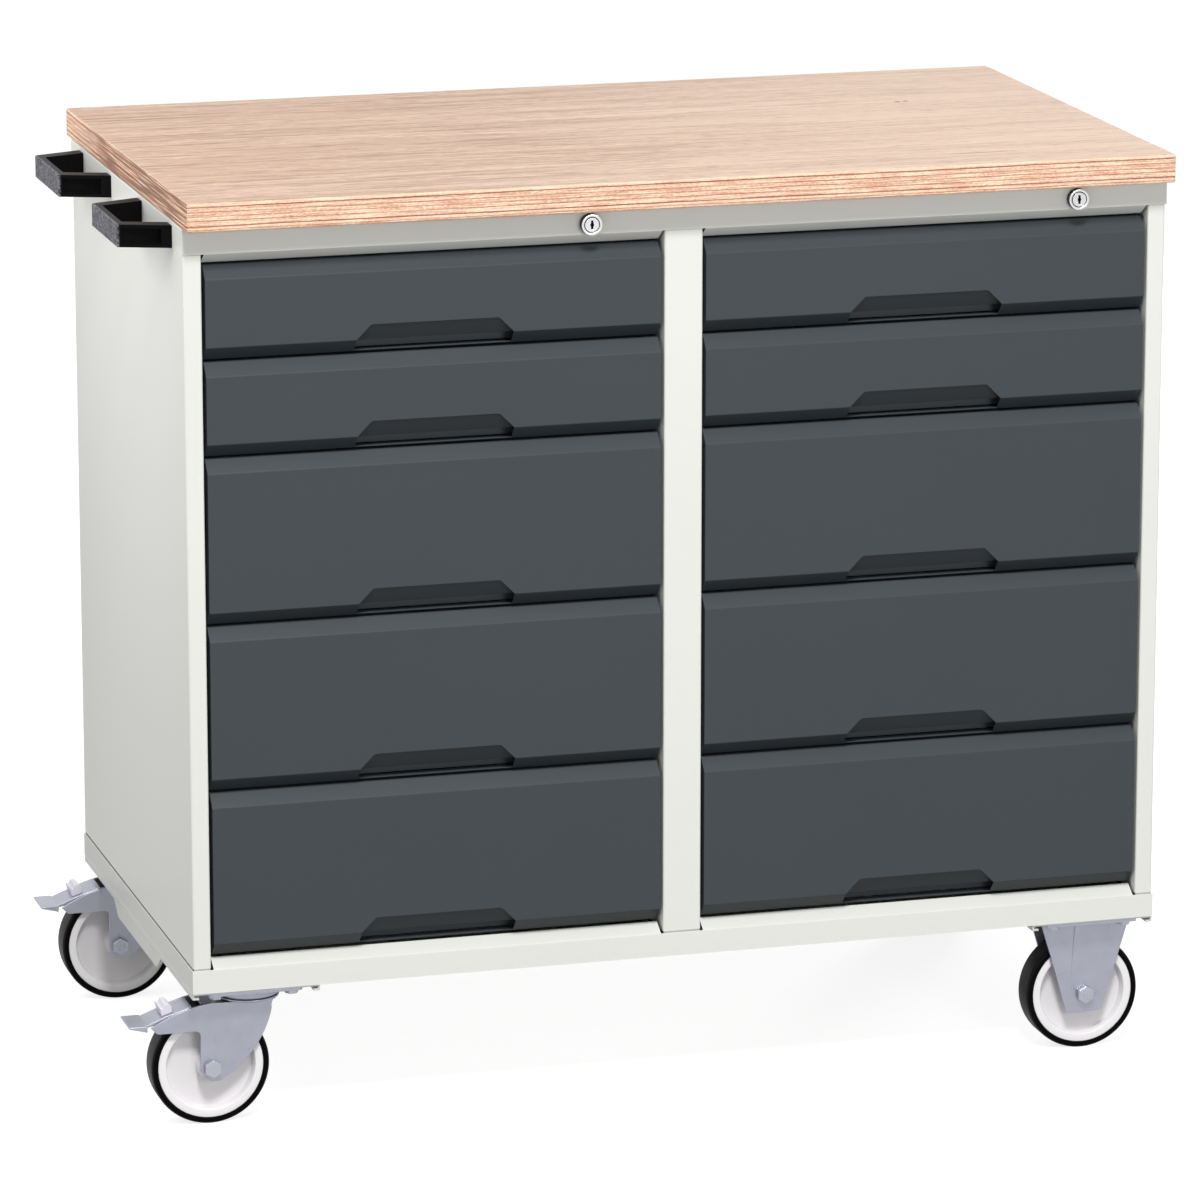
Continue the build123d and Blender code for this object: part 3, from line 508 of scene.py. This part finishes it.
def rubber():
    """Black rubber: dull on its sides, with a sheen where the piece marks its tread."""
    finish = Finish("tyre_rubber")
    scuff = finish.noise(0.0012)
    finish.set({
        "Base Color": finish.mix(scuff, shade(tyre_black, 0.8), shade(tyre_black, 1.2)),
        "Roughness": 0.45 + 0.2 * (scuff - 0.5),
        "Coat Weight": 0.25 * finish.mark("tread"),
        "Coat Roughness": 0.3,
        "Normal": finish.bump(scuff, 0.00004),
        "Specular IOR Level": 0.03,
    })
    return finish.material


def chrome():
    """Polished plating on the lock's face, duller and with painted shade in its keyhole, its groove and on
    its side.
    """
    finish = Finish("lock_chrome")
    cloud = finish.noise(0.004)
    face_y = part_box("lock_housings")[0].y
    # Painted shade behind the face: the keyhole, the groove and the collar's side are painted dark
    shaded_sunk = finish.step(finish.axis("Y") - face_y, 0.5 * lock_face_depth, lock_face_depth)
    bright = finish.mix(cloud, shade(chrome_tone, 0.94), chrome_tone)
    finish.set({
        "Base Color": finish.mix(shaded_sunk, bright, lock_painted_shade),
        "Roughness": 0.16 + 0.1 * cloud + 0.25 * shaded_sunk,
        "Metallic": 0.9,
    })
    return finish.material


# Painted shadow lines in the joints where the sides meet the rims of the base pan and the top frame
panel_joint_shadows = ((base_rim_top, 0.0022, 1.0, joint_shadow_black), (top_rim_low, 0.001, 0.5, joint_shadow_black))
# Painted highlight lines along the bottom edge of the base pan and the top edge of the top frame
base_edge_highlight = ((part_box("base_pan")[0].z, 0.0014, 0.9, highlight_white),)
top_edge_highlight = ((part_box("top_frame")[1].z, 0.0022, 0.9, highlight_white),)
# Painted shadow of the worktop's overhang: the header is darker, its sides keep the full grey, and a
# painted highlight runs along the top frame's top edge
header_shadowed_grey = shade(light_grey, header_painted_shadow)
carcass_paint = powder_coat("carcass_paint", light_grey)
top_shaded_lit_paint = powder_coat("top_shaded_lit_paint", header_shadowed_grey, side=1 / header_painted_shadow, seams=top_edge_highlight)
# Painted shade on the base pan's sides, and a painted highlight along its bottom edge
base_shaded_lit_paint = powder_coat("base_shaded_lit_paint", light_grey, side=low_rim_painted_shade, seams=base_edge_highlight)
panel_joint_shadow_paint = powder_coat("panel_joint_shadow_paint", light_grey, seams=panel_joint_shadows)
# The castor rails are painted darker as shade
rail_shaded_paint = powder_coat("rail_shaded_paint", shade(light_grey, low_rim_painted_shade))
# Painted shade on the faces of the drawer fronts that point down
drawer_paint = powder_coat("drawer_paint", anthracite, 0.42, 0.18, 0.00005, under=drawer_under_painted_shade)
box_paint = box_coat()
board = plywood()
zinc = zinc_plate("zinc_steel", zinc_grey)
# The bolts are a lighter copy of the zinc, as painted highlight on their heads
bolt_zinc_lit = zinc_plate("bolt_zinc_lit", bolt_highlight_grey)
handle_plastic = handle_moulding()
release_plastic = tab_moulding()
wheel_plastic = wheel_moulding()
tyre_rubber = rubber()
lock_chrome = chrome()


def dress(name, material, arris=sheet_arris):
    """Gives a CAD node its finish and eases its sharp edges."""
    node = nodes[name]
    for holder in node.material_slots:
        holder.material = material
    weld = node.modifiers.new("weld", "WELD")
    weld.merge_threshold = 1e-5
    flatten = node.modifiers.new("flatten", "DECIMATE")
    flatten.decimate_type = "DISSOLVE"
    flatten.angle_limit = math.radians(0.5)
    ease = node.modifiers.new("ease", "BEVEL")
    ease.width = arris
    ease.segments = 2
    ease.limit_method = "ANGLE"
    ease.angle_limit = math.radians(30)
    ease.use_clamp_overlap = False
    level = node.modifiers.new("level", "WEIGHTED_NORMAL")
    level.mode = "FACE_AREA"
    for polygon in node.data.polygons:
        polygon.use_smooth = True


for name in ("back_panel", "runner_uprights"):
    dress(name, carcass_paint)
dress("top_frame", top_shaded_lit_paint)
dress("base_pan", base_shaded_lit_paint)
for name in ("left_side_panel", "right_side_panel", "centre_divider"):
    dress(name, panel_joint_shadow_paint)
for name in ("castor_rails", "rail_skirts"):
    dress(name, rail_shaded_paint)
dress("worktop", board, fine_arris)
dress("cabinet_runners", zinc, fine_arris)
for bay in bays:
    dress(f"{bay}_lock_barrel", lock_chrome)
    for number in drawers:
        dress(f"{bay}_drawer_front_{number}", drawer_paint, front_arris)
        dress(f"{bay}_drawer_box_{number}", box_paint, fine_arris)
for name in ("swivel_plates", "fixed_brackets"):
    dress(name, zinc)
for name in ("fixed_axles", "castor_bolts"):
    dress(name, bolt_zinc_lit, soft_arris)
for row in rows:
    dress(f"{row}_push_handle", handle_plastic, fine_arris)
    dress(f"{row}_swivel_fork", zinc, fork_arris)
    dress(f"{row}_swivel_axle", bolt_zinc_lit, soft_arris)
    dress(f"{row}_brake_pedal", zinc, soft_arris)
    dress(f"{row}_release_tab", release_plastic, soft_arris)


def begin():
    """Object mode with nothing selected."""
    if bpy.context.object and bpy.context.object.mode != "OBJECT":
        bpy.ops.object.mode_set(mode="OBJECT")
    bpy.ops.object.select_all(action="DESELECT")


def edit(mode):
    bpy.ops.object.mode_set(mode="EDIT")
    bpy.ops.mesh.select_mode(type=mode)


def settle():
    """Puts the active object's place, turn and scale into its mesh."""
    bpy.ops.object.transform_apply(location=True, rotation=True, scale=True)


def pick_faces(test):
    """Selects the faces whose middle and normal pass a test."""
    bpy.ops.mesh.select_all(action="DESELECT")
    mesh = bmesh.from_edit_mesh(bpy.context.object.data)
    for face in mesh.faces:
        face.select = test(face.calc_center_median(), face.normal)
    mesh.select_flush(True)
    bmesh.update_edit_mesh(bpy.context.object.data)


def pick_vertices(test):
    """Selects the vertices whose place passes a test."""
    bpy.ops.mesh.select_all(action="DESELECT")
    mesh = bmesh.from_edit_mesh(bpy.context.object.data)
    for vertex in mesh.verts:
        vertex.select = test(vertex.co)
    mesh.select_flush(True)
    bmesh.update_edit_mesh(bpy.context.object.data)


def rounded(width, segments):
    """A bevel on the sharp edges, applied."""
    bpy.ops.object.modifier_add(type="BEVEL")
    ease = bpy.context.object.modifiers[-1]
    ease.width = width
    ease.segments = segments
    ease.limit_method = "ANGLE"
    ease.angle_limit = math.radians(30)
    bpy.ops.object.modifier_apply(modifier=ease.name)


def mark(name, test):
    """A value on the active object's points, 1 where their place passes a test and 0 elsewhere."""
    mesh = bpy.context.object.data
    values = mesh.attributes.new(name, "FLOAT", "POINT").data
    for vertex, value in zip(mesh.vertices, values):
        value.value = float(test(vertex.co))


def middle(node):
    low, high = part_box(node)
    return (low + high) / 2


def from_axle(place, axle):
    """Distance of a place from an axle that runs along Y."""
    return math.hypot(place.x - axle.x, place.z - axle.z)


def set_out(node, places):
    """The active object, modelled at a node, and a copy of it with its own mesh at each further place."""
    bpy.ops.object.shade_smooth_by_angle(angle=math.radians(35))
    first = bpy.context.object
    pieces = [first]
    for place in places:
        begin()
        first.select_set(True)
        bpy.context.view_layer.objects.active = first
        bpy.ops.object.duplicate()
        bpy.ops.transform.translate(value=middle(place) - middle(node))
        settle()
        pieces.append(bpy.context.object)
    return pieces


def finish_piece(piece, name, material, body, replaced):
    """Names a piece, gives it its finish, puts it on its body and hides the node that it stands for."""
    piece.name = piece.data.name = name
    piece.data.materials.clear()
    piece.data.materials.append(material)
    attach(piece, body)
    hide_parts(replaced)


def model_tyre(castor):
    """Solid tyre: its section, with round shoulders, spun about the axle."""
    low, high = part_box(f"{castor}_tyre")
    axle = middle(f"{castor}_tyre")
    radius = (high.z - low.z) / 2
    width = high.y - low.y
    rim = (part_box(f"{castor}_wheel")[1].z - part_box(f"{castor}_wheel")[0].z) / 2
    thickness = radius - rim
    halfway = axle.z + rim + thickness / 2
    shoulder = 0.0042
    seat_corner = 0.0006
    begin()
    bpy.ops.mesh.primitive_plane_add(
        size=1, location=(axle.x, axle.y, halfway), rotation=(0, math.pi / 2, 0)
    )
    bpy.ops.transform.resize(value=(1, width, thickness))
    settle()
    edit("VERT")
    pick_vertices(lambda place: place.z > halfway)
    bpy.ops.mesh.bevel(offset=shoulder, segments=6, affect="VERTICES")
    pick_vertices(lambda place: place.z < halfway)
    bpy.ops.mesh.bevel(offset=seat_corner, segments=2, affect="VERTICES")
    bpy.ops.mesh.select_all(action="SELECT")
    bpy.ops.mesh.delete(type="ONLY_FACE")
    bpy.ops.mesh.select_all(action="SELECT")
    bpy.ops.mesh.spin(steps=wheel_sides, angle=2 * math.pi, center=axle, axis=(0, 1, 0))
    bpy.ops.mesh.select_all(action="SELECT")
    bpy.ops.mesh.remove_doubles(threshold=1e-6)
    bpy.ops.mesh.normals_make_consistent(inside=False)
    bpy.ops.object.mode_set(mode="OBJECT")
    mark("tread", lambda place: from_axle(place, axle) > radius - shoulder / 3)


def model_wheel(castor):
    """Moulded wheel: a drum whose caps are inset and sunk into a rim ring, a dish and a hub."""
    low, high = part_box(f"{castor}_wheel")
    axle = middle(f"{castor}_wheel")
    rim = (high.z - low.z) / 2
    tyre_low, tyre_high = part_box(f"{castor}_tyre")
    rim_setback = 0.001
    half_rim = (tyre_high.y - tyre_low.y) / 2 - rim_setback
    half_hub = (high.y - low.y) / 2
    half_disc = 0.0045
    ring = 0.0083
    wall = 0.0018
    hub = 0.0125
    bore = 0.0054
    rounding = 0.0009
    recess_margin = 0.0002
    begin()
    bpy.ops.mesh.primitive_cylinder_add(
        vertices=wheel_sides, radius=rim, depth=2 * half_rim, location=axle, rotation=(math.pi / 2, 0, 0)
    )
    settle()
    edit("FACE")
    for side in (-1, 1):
        pick_faces(lambda place, normal: normal.y * side > 0.9)
        bpy.ops.mesh.inset(thickness=ring)
        bpy.ops.mesh.inset(thickness=wall)
        bpy.ops.transform.translate(value=(0, -side * (half_rim - half_disc), 0))
        bpy.ops.mesh.inset(thickness=rim - ring - wall - hub - wall)
        bpy.ops.mesh.inset(thickness=wall)
        bpy.ops.transform.translate(value=(0, side * (half_hub - half_disc), 0))
        bpy.ops.mesh.inset(thickness=hub - bore)
    bpy.ops.object.mode_set(mode="OBJECT")
    rounded(rounding, 4)
    mark("recess", lambda place: from_axle(place, axle) < rim - ring - recess_margin)


def model_collar(bay):
    """Lock collar: a drum stepped behind for the header's hole, with a chamfered bore for the barrel."""
    low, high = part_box(f"{bay}_lock_barrel")
    housing_low, housing_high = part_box("lock_housings")
    face_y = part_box("top_frame")[0].y
    radius = (housing_high.z - housing_low.z) / 2
    bore = (high.z - low.z) / 2
    wall_spare = 0.0001
    body = (radius + bore) / 2 + wall_spare
    proud = face_y - housing_low.y
    axle = Vector((low.x + bore, housing_low.y + proud / 2, (low.z + high.z) / 2))
    chamfer = 0.0009
    rounding = 0.0004
    begin()
    bpy.ops.mesh.primitive_cylinder_add(
        vertices=collar_sides, radius=radius, depth=proud, location=axle, rotation=(math.pi / 2, 0, 0)
    )
    settle()
    edit("FACE")
    pick_faces(lambda place, normal: normal.y > 0.9)
    bpy.ops.mesh.inset(thickness=radius - body)
    step_back = {"value": (0, housing_high.y - face_y, 0)}
    bpy.ops.mesh.extrude_region_move(TRANSFORM_OT_translate=step_back)
    bpy.ops.mesh.inset(thickness=body - bore)
    pick_faces(lambda place, normal: normal.y < -0.9)
    bpy.ops.mesh.inset(thickness=radius - bore - chamfer)
    bpy.ops.mesh.inset(thickness=chamfer)
    bpy.ops.transform.translate(value=(0, chamfer, 0))
    pick_faces(lambda place, normal: from_axle(place, axle) < bore / 9)
    bpy.ops.mesh.bridge_edge_loops()
    bpy.ops.object.mode_set(mode="OBJECT")
    rounded(rounding, 3)


model_collar(bays[0])
barrels = [f"{bay}_lock_barrel" for bay in bays]
for bay, piece in zip(bays, set_out(barrels[0], barrels[1:])):
    finish_piece(piece, f"{bay}_lock_collar", lock_chrome, "cabinet", "lock_housings")
castors = [f"{row}_{kind}" for row in rows for kind in ("swivel", "fixed")]
tyres = [f"{castor}_tyre" for castor in castors]
model_tyre(castors[0])
for castor, tyre, piece in zip(castors, tyres, set_out(tyres[0], tyres[1:])):
    finish_piece(piece, f"{castor}_tread", tyre_rubber, f"{castor}_roller", tyre)
wheels = [f"{castor}_wheel" for castor in castors]
model_wheel(castors[0])
for castor, wheel, piece in zip(castors, wheels, set_out(wheels[0], wheels[1:])):
    finish_piece(piece, f"{castor}_rim", wheel_plastic, f"{castor}_roller", wheel)

# Stage, light and camera
begin()
bpy.ops.mesh.primitive_plane_add(size=floor_size, location=(0, 0, cad_box[0].z))
floor = bpy.context.object
floor.name = "studio_floor"
ground = Finish("studio_floor")
ground.set({"Base Color": floor_grey, "Roughness": 0.9, "Specular IOR Level": 0.0})
glow = floor_seen * ground.ray("Is Camera Ray") + floor_mirrored * ground.ray("Is Glossy Ray")
lift = ground.node("ShaderNodeEmission", {}, {"Color": white, "Strength": glow})
lit = Wire(ground, ground.shader.outputs[0])
total = ground.node("ShaderNodeAddShader", {}, {0: lit, 1: lift})
ground.plug(ground.tree.nodes["Material Output"].inputs["Surface"], total)
floor.data.materials.append(ground.material)

world = bpy.data.worlds.new("studio")
bpy.context.scene.world = world
world.use_nodes = True
sky = NodeTree(world.node_tree)
seen = sky.ray("Is Camera Ray") + sky.ray("Is Glossy Ray")
strength = sky.node("ShaderNodeMapRange", {}, {"Value": seen, "To Min": sky_light, "To Max": 1.0})
background = sky.tree.nodes["Background"]
sky.plug(background.inputs["Color"], white)
sky.plug(background.inputs["Strength"], strength)


def soft_box(name, place, target, size, share):
    """Square area lamp; share is the light that it adds to a surface that faces it at its target."""
    begin()
    bpy.ops.object.light_add(type="AREA", location=place)
    lamp = bpy.context.object
    lamp.name = name
    aim = Vector(target) - Vector(place)
    lamp.rotation_euler = aim.to_track_quat("-Z", "Y").to_euler()
    lamp.data.size = size
    lamp.data.energy = share * (math.pi * aim.length) ** 2
    lamp.visible_camera = False


centre = (cad_box[0] + cad_box[1]) / 2
handle_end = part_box("left_side_panel")
panel_top = (handle_end[0].x, 0, handle_end[1].z)
soft_box("key", place=(-0.6, -3.7, 5.1), target=centre, size=1.0, share=0.68)
soft_box("left", place=(-1.1, 0.0, 1.1), target=panel_top, size=0.7, share=0.97)
soft_box("fill", place=(1.0, -4.8, 1.6), target=centre, size=1.2, share=0.16)
soft_box("back", place=(2.9, 3.4, 0.9), target=centre, size=1.2, share=0.4)

begin()
bpy.ops.object.camera_add(location=camera_place, rotation=(math.pi / 2 - camera_dip, 0, camera_turn))
camera = bpy.context.object
camera.data.sensor_width = 36.0
camera.data.lens = camera_lens
camera.data.clip_end = 200.0
bpy.context.scene.camera = camera
bpy.context.scene.view_settings.view_transform = "Standard"

begin()
